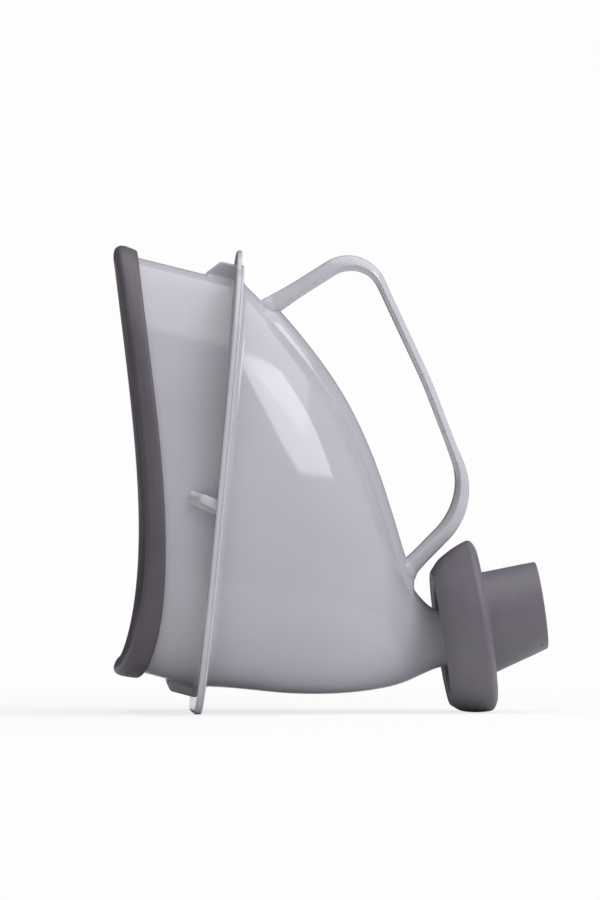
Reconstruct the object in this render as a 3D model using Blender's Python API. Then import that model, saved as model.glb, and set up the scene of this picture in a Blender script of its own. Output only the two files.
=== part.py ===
"""Hand-held urinal funnel with a bottle adapter.

Five pieces: a soft rim, the mouth collar and the scoop that meet at a flange, the
carrying handle on the scoop's back, and the soft adapter on the outlet neck.
The mouth faces -X, the outlet +X, and the funnel rests on the foot of its flange
and on the adapter's ring. Metres, +Z up, floor at z = 0.
"""
import math

import bmesh
import bpy
from mathutils import Vector

# ---- driving dimensions ----------------------------------------------------
GAP = 0.0003                # clearance between pieces that touch
WALL = 0.0020               # wall of both shells

# mouth of the collar: an egg-shaped outline on a surface that curves in side view
MOUTH_X = -0.07592          # front of the rim, at its top and bottom
MOUTH_SAG = 0.0097          # how far the sides of the mouth are cut back
MOUTH_SAG_SHIFT = 0.61      # moves the deepest part of the cut down
MOUTH_TOP = 0.1606
MOUTH_BOTTOM = 0.0160
MOUTH_HALF_WIDTH = 0.0410
RIM_SEAT = 0.0025           # the collar's edge lies this far behind the rim's front
RIM_BAND = 0.0072           # width of the rim's outer band at the sides
RIM_PROUD = 0.0018          # how far the band stands off the collar

# the flange, where the collar and the scoop meet
FLANGE_FOOT_X = -0.0469     # the flange's middle plane at floor level
FLANGE_LEAN = math.radians(5.6)
FLANGE_TOP = 0.1565
FLANGE_BELOW = 0.0014       # its curve would pass this far below the flat foot
FLANGE_HALF_WIDTH = 0.0490
COLLAR_FLANGE = 0.0016
SCOOP_FLANGE = 0.0009
BODY_TOP = 0.1508           # the shells' outline at the flange
BODY_BOTTOM = 0.0092
BODY_HALF_WIDTH = 0.0415
BODY_BIAS = 0.38            # how much wider the egg is low down
BODY_FULLNESS = 2.5         # 2 is an ellipse, more is squarer
SPIGOT_LENGTH = 0.0030      # the scoop's lip inside the collar
SPIGOT_WALL = 0.0012

# gussets and thumb tab of the flange
GUSSET_LENGTH = 0.0100
GUSSET_HEIGHT = 0.0058
FOOT_GUSSET_HEIGHT = 0.0037 # the lowest one stays clear of the floor
GUSSET_THICK = 0.0036
TAB_TOP = 0.1617
TAB_HALF_WIDTH = 0.0150

# outlet neck
OUTLET_RISE = math.radians(8.5)     # the neck's axis points up by this
NECK_START_X = 0.0384
NECK_RADIUS = 0.0096
NECK_WALL = 0.0018
NECK_LENGTH = 0.0155

# scoop: (x, z) of its back and of its underside, half width, low bias, fullness
SCOOP_STATIONS = (
    ((-0.0240, 0.1437), (-0.0385, 0.0089), 0.0412, 0.37, 2.45),
    ((-0.0134, 0.1319), (-0.0290, 0.0081), 0.0400, 0.35, 2.40),
    ((0.0010, 0.1126), (-0.0140, 0.0066), 0.0367, 0.30, 2.35),
    ((0.0120, 0.0905), (0.0025, 0.0066), 0.0316, 0.26, 2.25),
    ((0.0195, 0.0683), (0.0158, 0.0080), 0.0253, 0.17, 2.15),
    ((0.0246, 0.0515), (0.0252, 0.0102), 0.0188, 0.08, 2.05),
    ((0.0300, 0.0420), (0.0318, 0.0132), 0.0136, 0.02, 2.00),
)

# handle: corners of its middle line, with the radius of each bend
HANDLE_LINE = (
    ((-0.0235, 0.1405), 0.0),
    ((0.0118, 0.1628), 0.0122),
    ((0.0339, 0.1155), 0.1500),
    ((0.0500, 0.0735), 0.0240),
    ((0.0230, 0.0461), 0.0),
)
HANDLE_HALF_WIDTH = 0.0072
HANDLE_ARM = 0.0057         # thickness of the upper arm
HANDLE_GRIP = 0.0030        # thickness of the grip
HANDLE_FOOT = 0.0058        # thickness of the lower arm
STRAP_HALF_WIDTH = 0.0105   # the base strap down the scoop's back
STRAP_RISE = 0.0019
STRAP_SPAN = (1.05, 6.80)   # from and to, in stations

# adapter: stations along the neck's axis from the start of the neck
ADAPTER_SKEW = 0.17         # the ring and cone climb by this per length
RING_MOUTH_RADIUS = 0.0235
RING_RADIUS = 0.0306
RING_LENGTH = 0.0165
SKIRT_WALL = 0.0025
SLEEVE_WALL = 0.0032
CONE_ROOT_RADIUS = 0.0180
CONE_END_RADIUS = 0.0154
CONE_LENGTH = 0.0370
CONE_WALL = 0.0021

AROUND = 60                 # points around a shell's outline
ROUND = 52                  # points around the adapter

# ---- scene -----------------------------------------------------------------
for old in list(bpy.data.objects):
    bpy.data.objects.remove(old, do_unlink=True)


def material(name, colour, roughness):
    mat = bpy.data.materials.new(name)
    mat.use_nodes = True
    shader = mat.node_tree.nodes["Principled BSDF"]
    shader.inputs["Base Color"].default_value = (*colour, 1.0)
    shader.inputs["Roughness"].default_value = roughness
    shader.inputs["Metallic"].default_value = 0.0
    return mat


def add_object(name, bm, mat, sharp=35.0):
    """Makes an object of a bmesh, faces outward, smooth but for its sharp edges."""
    bmesh.ops.recalc_face_normals(bm, faces=bm.faces[:])
    if bm.calc_volume(signed=True) < 0:
        bmesh.ops.reverse_faces(bm, faces=bm.faces[:])
    mesh = bpy.data.meshes.new(name)
    bm.to_mesh(mesh)
    bm.free()
    mesh.materials.append(mat)
    mesh.shade_smooth()
    mesh.set_sharp_from_angle(angle=math.radians(sharp))
    obj = bpy.data.objects.new(name, mesh)
    bpy.context.scene.collection.objects.link(obj)
    return obj


def loft(rings, wrap=True):
    """Skins closed rings of equal count: round into a tube wall, or capped at its ends."""
    bm = bmesh.new()
    rows = [[bm.verts.new(p) for p in ring] for ring in rings]
    count = len(rows[0])
    steps = len(rows) if wrap else len(rows) - 1
    for k in range(steps):
        low, high = rows[k], rows[(k + 1) % len(rows)]
        for i in range(count):
            j = (i + 1) % count
            bm.faces.new((low[i], low[j], high[j], high[i]))
    if not wrap:
        bm.faces.new(rows[0])
        bm.faces.new(rows[-1])
    return bm


def boolean(target, cutter, operation):
    """Adds a Boolean with a helper object that is not itself a piece."""
    cutter.hide_render = True
    cutter.display_type = "WIRE"
    cut = target.modifiers.new(cutter.name, "BOOLEAN")
    cut.operation = operation
    cut.solver = "EXACT"
    cut.object = cutter
    return cut


# ---- shared outlines -------------------------------------------------------
def outline(low_bias, fullness, count=AROUND):
    """Unit egg, as (across, up) pairs within -1 to 1, starting at the top."""
    power = 2.0 / fullness
    pairs = []
    for i in range(count):
        angle = 2.0 * math.pi * i / count
        up = math.copysign(abs(math.cos(angle)) ** power, math.cos(angle))
        across = math.copysign(abs(math.sin(angle)) ** power, math.sin(angle))
        pairs.append((across * (1.0 - low_bias * up), up))
    widest = max(across for across, up in pairs)
    return [(across / widest, up) for across, up in pairs]


def section(top, bottom, half_width, low_bias, fullness):
    """Ring of points on the egg spanned by a top and a bottom (x, z)."""
    ring = []
    for across, up in outline(low_bias, fullness):
        blend = 0.5 * (1.0 + up)
        x = bottom[0] + (top[0] - bottom[0]) * blend
        z = bottom[1] + (top[1] - bottom[1]) * blend
        ring.append(Vector((x, half_width * across, z)))
    return ring


def flange_x(z, offset=0.0):
    """X of the leaning flange at height z, offset square to it."""
    return FLANGE_FOOT_X + math.tan(FLANGE_LEAN) * z + offset / math.cos(FLANGE_LEAN)


def on_flange(top, bottom, half_width, low_bias, fullness, offset, floor=False):
    ring = section((0.0, top), (0.0, bottom), half_width, low_bias, fullness)
    for p in ring:
        if floor:
            p.z = max(p.z, 0.0)
        p.x = flange_x(p.z, offset)
    return ring


def body_ring(offset):
    return on_flange(BODY_TOP, BODY_BOTTOM, BODY_HALF_WIDTH, BODY_BIAS, BODY_FULLNESS, offset)


def flange_ring(offset):
    return on_flange(FLANGE_TOP, -FLANGE_BELOW, FLANGE_HALF_WIDTH, 0.20, 3.2, offset, True)


def mouth_x(z):
    """The curved surface that the mouth is cut to."""
    share = min(max((z - MOUTH_BOTTOM) / (MOUTH_TOP - MOUTH_BOTTOM), 0.0), 1.0)
    return MOUTH_X + MOUTH_SAG * math.sin(math.pi * share ** MOUTH_SAG_SHIFT)


def mouth_ring():
    ring = section((0.0, MOUTH_TOP), (0.0, MOUTH_BOTTOM), MOUTH_HALF_WIDTH,
                   BODY_BIAS, BODY_FULLNESS)
    for p in ring:
        p.x = mouth_x(p.z) + RIM_SEAT
    return ring


def inset(ring, near, distance):
    """Moves a ring's points along the surface normal found from a near-by ring."""
    count = len(ring)
    moved = []
    for i, p in enumerate(ring):
        along = near[i] - p
        around = ring[(i + 1) % count] - ring[i - 1]
        normal = around.cross(along).normalized()
        centre = sum(ring, Vector()) / count
        if normal.dot(p - centre) < 0:
            normal.negate()
        moved.append(p + normal * distance)
    return moved


def between(a, b, share):
    return [p.lerp(q, share) for p, q in zip(a, b)]


grey_plastic = material("light_grey_polypropylene", (0.40, 0.39, 0.42), 0.22)
dark_rubber = material("dark_grey_rubber", (0.115, 0.105, 0.12), 0.55)

# middle of the flange is the joint between the two shells
half_joint = 0.5 * GAP
collar_face = -half_joint
collar_back = collar_face - COLLAR_FLANGE
scoop_face = half_joint
scoop_back = scoop_face + SCOOP_FLANGE

# ---- mouth collar ----------------------------------------------------------
mouth = mouth_ring()
root = body_ring(collar_back)
joint = body_ring(collar_face)
collar_mid = between(mouth, root, 0.5)
inner_mouth = inset(mouth, root, -WALL)
inner_joint = inset(joint, root, -WALL)
rings = [
    mouth, between(mouth, root, 0.25), collar_mid, between(mouth, root, 0.75), root,
    flange_ring(collar_back), flange_ring(collar_face), inner_joint,
    between(inner_joint, inner_mouth, 0.5), inner_mouth,
]
collar = add_object("mouth_collar", loft(rings), grey_plastic)


def gusset(bm, index, lean=0.0, top=GUSSET_HEIGHT):
    """Rib from the flange to the collar wall at one point of the outline."""
    base = root[index]
    along = (mouth[index] - base).normalized()
    around = (root[(index + 1) % AROUND] - root[index - 1]).normalized()
    out = along.cross(around).normalized()
    if out.dot(base - sum(root, Vector()) / AROUND) < 0:
        out.negate()
    along = (along + Vector((0.0, 0.0, lean))).normalized()
    side = along.cross(out).normalized()
    toe, low = GUSSET_LENGTH, -0.0011
    ramp = toe - 0.8 * top
    profile = (
        (-0.0007, low), (toe, low), (toe, 0.0004), (toe - 0.0004, 0.0012),
        (ramp, top - 0.0008), (ramp - 0.0010, top), (-0.0007, top),
    )
    rows = []
    for half in (-0.5, -0.38, 0.38, 0.5):
        edge = 0.0004 if abs(half) > 0.4 else 0.0
        rows.append([bm.verts.new(
            base + along * (run - (edge if run > toe - 0.001 else 0.0))
            + out * (rise - (edge if rise > 0.0 else 0.0))
            + side * half * GUSSET_THICK * (1.0 - 0.25 * max(run, 0.0) / toe))
            for run, rise in profile])
    bm.faces.new(rows[0])
    bm.faces.new(reversed(rows[-1]))
    for low_row, high_row in zip(rows, rows[1:]):
        for i in range(len(profile)):
            j = (i + 1) % len(profile)
            bm.faces.new((low_row[j], low_row[i], high_row[i], high_row[j]))


side_index = min(range(AROUND // 2), key=lambda i: abs(root[i].z - 0.0715))
bm = bmesh.new()
gusset(bm, 0)
gusset(bm, side_index, 0.08)
gusset(bm, AROUND // 2, 0.0, FOOT_GUSSET_HEIGHT)
gusset(bm, AROUND - side_index, 0.08)
boolean(collar, add_object("gussets", bm, grey_plastic), "UNION")

# thumb tab: a low arch on the collar's half of the flange
tab_base = FLANGE_TOP - 0.0041
tab_points = []
for i in range(17):
    angle = math.pi * i / 16
    width = math.copysign(abs(math.cos(angle)) ** 0.8, math.cos(angle))
    tab_points.append((TAB_HALF_WIDTH * width,
                       tab_base + (TAB_TOP - tab_base) * math.sin(angle) ** 0.8))
bm = bmesh.new()
for offset in (collar_back + 0.0001, collar_face - 0.0001):
    row = [bm.verts.new((flange_x(z, offset), y, z)) for y, z in tab_points]
    bm.faces.new(row)
bm.verts.ensure_lookup_table()
count = len(tab_points)
for i in range(count):
    j = (i + 1) % count
    bm.faces.new((bm.verts[i], bm.verts[j], bm.verts[count + j], bm.verts[count + i]))
boolean(collar, add_object("thumb_tab", bm, grey_plastic), "UNION")

# ---- comfort rim -----------------------------------------------------------
rim_rows = []
for i in range(AROUND):
    p = mouth[i]
    along = (root[i] - p).normalized()
    around = (mouth[(i + 1) % AROUND] - mouth[i - 1]).normalized()
    out = around.cross(along).normalized()
    if out.dot(p - sum(mouth, Vector()) / AROUND) < 0:
        out.negate()
    low = (0.5 - 0.5 * math.cos(2.0 * math.pi * i / AROUND)) ** 3
    flat = abs(math.cos(2.0 * math.pi * i / AROUND)) ** 2
    band = RIM_BAND + 0.0008 * flat + 0.0012 * low
    back = RIM_PROUD + 0.0010 * low
    front = RIM_PROUD + 0.0012 + 0.0015 * low
    flap = -WALL - 0.0018
    profile = (
        (band, GAP), (band, back - 0.0006), (band - 0.0006, back),
        (0.0030, front), (0.0013, front - 0.0006), (0.0003, front - 0.0018),
        (0.0, 0.0), (0.0004, -0.0020), (0.0013, -0.0032), (0.0028, flap),
        (0.0070, flap), (0.0076, flap + 0.0005), (0.0076, -WALL - GAP),
        (RIM_SEAT - GAP, -WALL - GAP), (RIM_SEAT - GAP, GAP),
    )
    rim_rows.append([p + along * (run - RIM_SEAT) + out * rise for run, rise in profile])
rings = [list(column) for column in zip(*rim_rows)]
add_object("comfort_rim", loft(rings), dark_rubber, 50.0)

# ---- adapter profile, which also sets the neck's height ---------------------
outlet = Vector((math.cos(OUTLET_RISE), 0.0, math.sin(OUTLET_RISE)))
outlet_up = Vector((-math.sin(OUTLET_RISE), 0.0, math.cos(OUTLET_RISE)))

ring_outside = (
    (0.0002, RING_MOUTH_RADIUS - 0.0006), (0.0000, RING_MOUTH_RADIUS - 0.0001),
    (0.0007, RING_MOUTH_RADIUS + 0.0008), (0.0036, RING_RADIUS - 0.0041),
    (0.0080, RING_RADIUS - 0.0023), (0.0112, RING_RADIUS - 0.0009),
    (0.0138, RING_RADIUS), (0.0150, RING_RADIUS - 0.0006),
    (0.0160, RING_RADIUS - 0.0020), (RING_LENGTH, RING_RADIUS - 0.0034),
)
# the ring rests on the floor: its lowest circle touches z = 0
neck_z = max(r * math.cos(OUTLET_RISE)
             - a * (math.sin(OUTLET_RISE) + ADAPTER_SKEW * math.cos(OUTLET_RISE))
             for a, r in ring_outside)
neck_start = Vector((NECK_START_X, 0.0, neck_z))


def circle(along, radius, lift=0.0, count=ROUND):
    """Circle square to the outlet axis, its centre lifted off that axis."""
    centre = neck_start + outlet * along + outlet_up * lift
    ring = []
    for i in range(count):
        angle = 2.0 * math.pi * i / count
        ring.append(centre + outlet_up * radius * math.cos(angle)
                    + Vector((0.0, radius * math.sin(angle), 0.0)))
    return ring


# ---- scoop -----------------------------------------------------------------
neck_ring = circle(0.0, NECK_RADIUS, 0.0, AROUND)
stations = [body_ring(scoop_back)]
stations += [section(*station) for station in SCOOP_STATIONS]
stations += [neck_ring, circle(0.0060, NECK_RADIUS, 0.0, AROUND)]
LAST = len(stations) - 2


def scoop_ring(t):
    """Ring of the scoop's outer surface at a fractional station, smooth in t."""
    k = min(int(t), LAST - 1)
    u = t - k
    before = stations[k - 1] if k else between(stations[1], stations[0], 2.0)
    ring = []
    for a, b, c, d in zip(before, stations[k], stations[k + 1], stations[k + 2]):
        ring.append(0.5 * (2.0 * b + (c - a) * u + (2.0 * a - 5.0 * b + 4.0 * c - d) * u * u
                           + (3.0 * b - a - 3.0 * c + d) * u ** 3))
    return ring


def scoop_offset(t, distance):
    """The scoop's ring moved square to its surface."""
    step = 0.02 if t + 0.02 <= LAST else -0.02
    return inset(scoop_ring(t), scoop_ring(t + step), distance)


steps = 18
times = [LAST * k / steps for k in range(steps + 1)]
outer = [scoop_ring(t) for t in times[1:]]
inner = [scoop_offset(t, -WALL) for t in times[1:-1]]
face = body_ring(scoop_face)
bore = NECK_RADIUS - NECK_WALL
lip_outer = inset(face, root, -WALL - GAP)
lip_inner = inset(face, root, -WALL - GAP - SPIGOT_WALL)
slope = [(m - r).normalized() for m, r in zip(mouth, root)]
rings = [flange_ring(scoop_face), flange_ring(scoop_back)]
rings += [inset(body_ring(scoop_back), stations[1], 0.0012),
          [p.lerp(q, 0.12) for p, q in zip(scoop_ring(0.0), scoop_ring(1.0))]]
rings += outer
rings += [
    circle(NECK_LENGTH - 0.0006, NECK_RADIUS, 0.0, AROUND),
    circle(NECK_LENGTH, NECK_RADIUS - 0.0006, 0.0, AROUND),
    circle(NECK_LENGTH, bore, 0.0, AROUND),
    circle(0.0, bore, 0.0, AROUND),
]
rings += inner[::-1]
rings += [
    lip_inner,
    [p + d * SPIGOT_LENGTH for p, d in zip(lip_inner, slope)],
    [p + d * SPIGOT_LENGTH for p, d in zip(lip_outer, slope)],
    lip_outer,
]
add_object("scoop_shell", loft(rings), grey_plastic)

# ---- carrying handle -------------------------------------------------------
def rounded_line(corners, spacing=0.0028):
    """Points along straight runs joined by arcs, in the x-z plane."""
    points = []
    for k, (corner, radius) in enumerate(corners):
        here = Vector((corner[0], 0.0, corner[1]))
        if not radius:
            points.append(here)
            continue
        last, following = corners[k - 1][0], corners[k + 1][0]
        back = (Vector((last[0], 0.0, last[1])) - here).normalized()
        ahead = (Vector((following[0], 0.0, following[1])) - here).normalized()
        half = 0.5 * back.angle(ahead)
        reach = radius / math.tan(half)
        centre = here + (back + ahead).normalized() * radius / math.sin(half)
        start = here + back * reach - centre
        turn = math.pi - 2.0 * half
        count = max(3, int(radius * turn / spacing))
        axis = start.cross(here + ahead * reach - centre).normalized()
        for i in range(count + 1):
            angle = turn * i / count
            points.append(centre + start * math.cos(angle)
                          + axis.cross(start) * math.sin(angle))
    return points


path = rounded_line(HANDLE_LINE)
travel = [0.0]
for a, b in zip(path, path[1:]):
    travel.append(travel[-1] + (b - a).length)
total = travel[-1]


def ease(value):
    value = min(max(value, 0.0), 1.0)
    return value * value * (3.0 - 2.0 * value)


def thickness(share):
    """Arm, then the thinner grip, then the foot, with a swell at both roots."""
    size = HANDLE_ARM + (HANDLE_GRIP - HANDLE_ARM) * ease((share - 0.18) / 0.13)
    size += (HANDLE_FOOT - HANDLE_GRIP) * ease((share - 0.64) / 0.20)
    return size + 0.0012 * (ease(1.0 - share / 0.10) + ease((share - 0.92) / 0.08))


# the straight runs are divided so that the thickness can change along them
dense = []
for k in range(len(path) - 1):
    count = max(1, int(round((travel[k + 1] - travel[k]) / 0.004)))
    for i in range(count):
        dense.append((path[k].lerp(path[k + 1], i / count),
                      (travel[k] + (travel[k + 1] - travel[k]) * i / count) / total))
dense.append((path[-1], 1.0))
rings = []
for k, (p, share) in enumerate(dense):
    ahead = dense[min(k + 1, len(dense) - 1)][0] - dense[max(k - 1, 0)][0]
    ahead.normalize()
    out = Vector((-ahead.z, 0.0, ahead.x))
    thick, wide = thickness(share), HANDLE_HALF_WIDTH
    profile = (
        (0.5, wide - 0.0014), (0.36, wide - 0.0003), (0.18, wide), (-0.12, wide),
        (-0.30, wide - 0.0009), (-0.5, wide - 0.0034),
    )
    profile += tuple((n, -y) for n, y in reversed(profile))
    rings.append([p + out * thick * n + Vector((0.0, y, 0.0)) for n, y in profile])
handle = add_object("carry_handle", loft(rings, wrap=False), grey_plastic, 28.0)

# base strap, wrapped on the scoop's back between the two roots of the loop
reach = 12
rows = []
strap_steps = 18
for k in range(strap_steps + 1):
    t = STRAP_SPAN[0] + (STRAP_SPAN[1] - STRAP_SPAN[0]) * k / strap_steps
    end = ease(min(k, strap_steps - k) / 1.5)
    low, high = scoop_offset(t, -0.0010), scoop_offset(t, GAP + 0.0004)
    top = scoop_offset(t, GAP + 0.0004 + (STRAP_RISE - 0.0004) * end)
    flank = scoop_offset(t, GAP + 0.0003 + 0.72 * (STRAP_RISE - 0.0004) * end)

    def pick(ring, y):
        """Point of a ring at width y on the back."""
        for i in range(reach):
            if ring[i + 1].y >= abs(y):
                share = (abs(y) - ring[i].y) / (ring[i + 1].y - ring[i].y)
                p = ring[i].lerp(ring[i + 1], max(share, 0.0))
                return Vector((p.x, math.copysign(p.y, y) if y else 0.0, p.z))
        return ring[reach].copy()

    wide = STRAP_HALF_WIDTH
    row = [pick(low, wide), pick(high, wide), pick(flank, wide - 0.0008),
           pick(top, wide - 0.0022), pick(top, 0.5 * wide), pick(top, 0.0)]
    row += [Vector((p.x, -p.y, p.z)) for p in reversed(row[:-1])]
    row += [pick(low, 0.0)]
    rows.append(row)
strap = add_object("handle_strap", loft(rows, wrap=False), grey_plastic)
boolean(handle, strap, "UNION")

# both are cut to the scoop's back with a clearance
clearance = [scoop_offset(LAST * k / steps, GAP) for k in range(1, steps)]
clear = add_object("scoop_clearance", loft(clearance, wrap=False), grey_plastic)
boolean(handle, clear, "DIFFERENCE")

# ---- bottle adapter --------------------------------------------------------
def skewed(along, radius):
    return circle(along, radius, ADAPTER_SKEW * along)


sleeve_radius = NECK_RADIUS + GAP
socket_end = NECK_LENGTH + 0.0005
face = RING_LENGTH - 0.0012
pocket = face - 0.0030
rings = [skewed(a, r) for a, r in ring_outside]
rings += [
    skewed(RING_LENGTH, RING_RADIUS - 0.0046),
    skewed(face, RING_RADIUS - 0.0052),
    skewed(face, CONE_ROOT_RADIUS + 0.0010),
    skewed(face + 0.0008, CONE_ROOT_RADIUS),
    skewed(0.5 * (face + CONE_LENGTH), 0.5 * (CONE_ROOT_RADIUS + CONE_END_RADIUS)),
    skewed(CONE_LENGTH - 0.0008, CONE_END_RADIUS),
    skewed(CONE_LENGTH, CONE_END_RADIUS - 0.0007),
    skewed(CONE_LENGTH, CONE_END_RADIUS - CONE_WALL),
    skewed(socket_end + 0.0040, CONE_ROOT_RADIUS - CONE_WALL - 0.0010),
    skewed(socket_end + 0.0028, CONE_ROOT_RADIUS - CONE_WALL - 0.0022),
    circle(socket_end + 0.0022, bore),
    circle(socket_end, bore),
    circle(socket_end, sleeve_radius),
    circle(0.0020, sleeve_radius),
    circle(0.0020, sleeve_radius + SLEEVE_WALL),
    circle(pocket, sleeve_radius + SLEEVE_WALL),
    skewed(pocket, RING_RADIUS - SKIRT_WALL - 0.0008),
    skewed(0.0080, RING_RADIUS - 0.0023 - SKIRT_WALL),
    skewed(0.0036, RING_RADIUS - 0.0041 - SKIRT_WALL),
    skewed(0.0006, RING_MOUTH_RADIUS - 0.0022),
]
add_object("bottle_adapter", loft(rings), dark_rubber)
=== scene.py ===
"""Looks of the hand-held urinal funnel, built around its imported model."""
import math

import bmesh
import bpy
from mathutils import Matrix, Vector


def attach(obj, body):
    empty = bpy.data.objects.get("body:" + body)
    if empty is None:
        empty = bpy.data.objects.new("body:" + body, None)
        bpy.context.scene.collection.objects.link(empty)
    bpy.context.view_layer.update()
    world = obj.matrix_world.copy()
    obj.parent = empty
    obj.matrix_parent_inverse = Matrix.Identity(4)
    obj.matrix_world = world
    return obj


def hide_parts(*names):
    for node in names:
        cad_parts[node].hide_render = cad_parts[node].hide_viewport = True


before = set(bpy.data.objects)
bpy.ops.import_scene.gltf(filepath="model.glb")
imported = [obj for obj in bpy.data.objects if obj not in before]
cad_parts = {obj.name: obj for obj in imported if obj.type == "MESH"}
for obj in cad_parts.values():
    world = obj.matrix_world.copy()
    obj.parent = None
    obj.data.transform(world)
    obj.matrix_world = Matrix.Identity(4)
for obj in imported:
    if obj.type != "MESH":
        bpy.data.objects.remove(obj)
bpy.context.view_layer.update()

# ---------------------------------------------------------------------------
# Mouth collar: the front half of the body, injection moulded in light grey
# polypropylene. It carries the front half of the flange, four gussets that
# brace it, and a thumb tab at the top.
# ---------------------------------------------------------------------------
WALL = 0.0020
MOUTH_X, MOUTH_SAG, MOUTH_SAG_SHIFT = -0.07592, 0.0097, 0.61
MOUTH_TOP, MOUTH_BOTTOM, MOUTH_HALF_WIDTH = 0.1606, 0.0160, 0.0410
RIM_SEAT = 0.0025
FLANGE_FOOT_X, FLANGE_LEAN = -0.0469, math.radians(5.6)
FLANGE_TOP, FLANGE_BELOW, FLANGE_HALF_WIDTH = 0.1565, 0.0014, 0.0490
FLANGE_BIAS, FLANGE_FULLNESS = 0.20, 3.2
COLLAR_FLANGE, SEAM_HALF = 0.0017, 0.00002
SEAM_BEVEL, SEAM_STEP = 0.00010, 0.00003
BODY_TOP, BODY_BOTTOM, BODY_HALF_WIDTH = 0.1508, 0.0092, 0.0415
BODY_BIAS, BODY_FULLNESS = 0.38, 2.5
COLLAR_FILLET, COLLAR_EDGE_ROUND = 0.0009, 0.0006
TAB_TOP, TAB_HALF_WIDTH, TAB_ROOT_DROP = 0.1617, 0.0150, 0.0041
AROUND = 288


def egg(low_bias, fullness, count=AROUND):
    """Unit egg as (across, up) pairs, starting at the top."""
    power = 2.0 / fullness
    pairs = []
    for i in range(count):
        angle = 2.0 * math.pi * i / count
        up = math.copysign(abs(math.cos(angle)) ** power, math.cos(angle))
        across = math.copysign(abs(math.sin(angle)) ** power, math.sin(angle))
        pairs.append((across * (1.0 - low_bias * up), up))
    widest = max(across for across, up in pairs)
    return [(across / widest, up) for across, up in pairs]


def section(top, bottom, half_width, low_bias, fullness):
    """Egg-shaped ring spanned by a top and a bottom (x, z)."""
    ring = []
    for across, up in egg(low_bias, fullness):
        blend = 0.5 * (1.0 + up)
        ring.append(Vector((bottom[0] + (top[0] - bottom[0]) * blend, half_width * across,
                            bottom[1] + (top[1] - bottom[1]) * blend)))
    return ring


def flange_x(z, offset=0.0):
    return FLANGE_FOOT_X + math.tan(FLANGE_LEAN) * z + offset / math.cos(FLANGE_LEAN)


def body_ring(offset):
    """Outline of the body where it meets the flange."""
    ring = section((0.0, BODY_TOP), (0.0, BODY_BOTTOM), BODY_HALF_WIDTH,
                   BODY_BIAS, BODY_FULLNESS)
    return [Vector((flange_x(p.z, offset), p.y, p.z)) for p in ring]


def flange_ring(offset, shrink=0.0, tab=False):
    """Outline of the flange, drawn in by shrink, with its flat foot and its tab."""
    ring = section((0.0, FLANGE_TOP), (0.0, -FLANGE_BELOW), FLANGE_HALF_WIDTH,
                   FLANGE_BIAS, FLANGE_FULLNESS)
    flat = []
    for p in ring:
        z = max(p.z, 0.0)
        if tab and p.z > 0.5 * FLANGE_TOP and abs(p.y) < TAB_HALF_WIDTH:
            rise = math.sqrt(1.0 - (p.y / TAB_HALF_WIDTH) ** 2) ** 0.8
            z = max(z, FLANGE_TOP - TAB_ROOT_DROP
                    + (TAB_TOP - FLANGE_TOP + TAB_ROOT_DROP) * rise)
        flat.append(Vector((0.0, p.y, z)))
    moved = []
    for i, p in enumerate(flat):
        ahead = flat[(i + 1) % AROUND] - flat[i - 1]
        inward = Vector((0.0, ahead.z, -ahead.y)).normalized()
        q = p + inward * shrink
        moved.append(Vector((flange_x(q.z, offset), q.y, q.z)))
    return moved


def mouth_ring():
    """The collar's edge, cut to the curved surface of the mouth."""
    ring = section((0.0, MOUTH_TOP), (0.0, MOUTH_BOTTOM), MOUTH_HALF_WIDTH,
                   BODY_BIAS, BODY_FULLNESS)
    for p in ring:
        share = min(max((p.z - MOUTH_BOTTOM) / (MOUTH_TOP - MOUTH_BOTTOM), 0.0), 1.0)
        p.x = MOUTH_X + MOUTH_SAG * math.sin(math.pi * share ** MOUTH_SAG_SHIFT) + RIM_SEAT
    return ring


def ease(value):
    value = min(max(value, 0.0), 1.0)
    return value * value * (3.0 - 2.0 * value)


def between(a, b, share):
    return [p.lerp(q, share) for p, q in zip(a, b)]


def offset_ring(ring, near, distance):
    """A ring moved square to the surface that it and a near-by ring lie on."""
    centre = sum(ring, Vector()) / len(ring)
    moved = []
    for i, p in enumerate(ring):
        around = ring[(i + 1) % len(ring)] - ring[i - 1]
        normal = around.cross(near[i] - p).normalized()
        if normal.dot(p - centre) < 0:
            normal.negate()
        moved.append(p + normal * distance)
    return moved


def fillet_rings(corner, back, out, radius, steps=6):
    """Quarter-round rings in the corner between two surfaces."""
    rings = []
    for k in range(steps + 1):
        angle = 0.5 * math.pi * k / steps
        rings.append([
            p + (b - p).normalized() * radius * (1.0 - math.sin(angle))
            + (o - p).normalized() * radius * (1.0 - math.cos(angle))
            for p, b, o in zip(corner, back, out)])
    return rings


def skin(name, rings, wrap=True):
    """Skins rings of equal count, wrapping round to the first one or capped."""
    bm = bmesh.new()
    rows = [[bm.verts.new(p) for p in ring] for ring in rings]
    count = len(rows[0])
    for k in range(len(rows) if wrap else len(rows) - 1):
        low, high = rows[k], rows[(k + 1) % len(rows)]
        for i in range(count):
            j = (i + 1) % count
            bm.faces.new((low[i], low[j], high[j], high[i]))
    if not wrap:
        bm.faces.new(rows[0])
        bm.faces.new(rows[-1])
    bmesh.ops.recalc_face_normals(bm, faces=bm.faces[:])
    if bm.calc_volume(signed=True) < 0:
        bmesh.ops.reverse_faces(bm, faces=bm.faces[:])
    mesh = bpy.data.meshes.new(name)
    bm.to_mesh(mesh)
    bm.free()
    mesh.shade_smooth()
    piece = bpy.data.objects.new(name, mesh)
    bpy.context.scene.collection.objects.link(piece)
    return piece


def paint_band(piece, first, last):
    """Gives the faces between two rings of a skin its second material, the plastic copy painted
    lighter to stand in for light.
    """
    for face in piece.data.polygons:
        if first <= face.index // AROUND < last:
            face.material_index = 1


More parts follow.
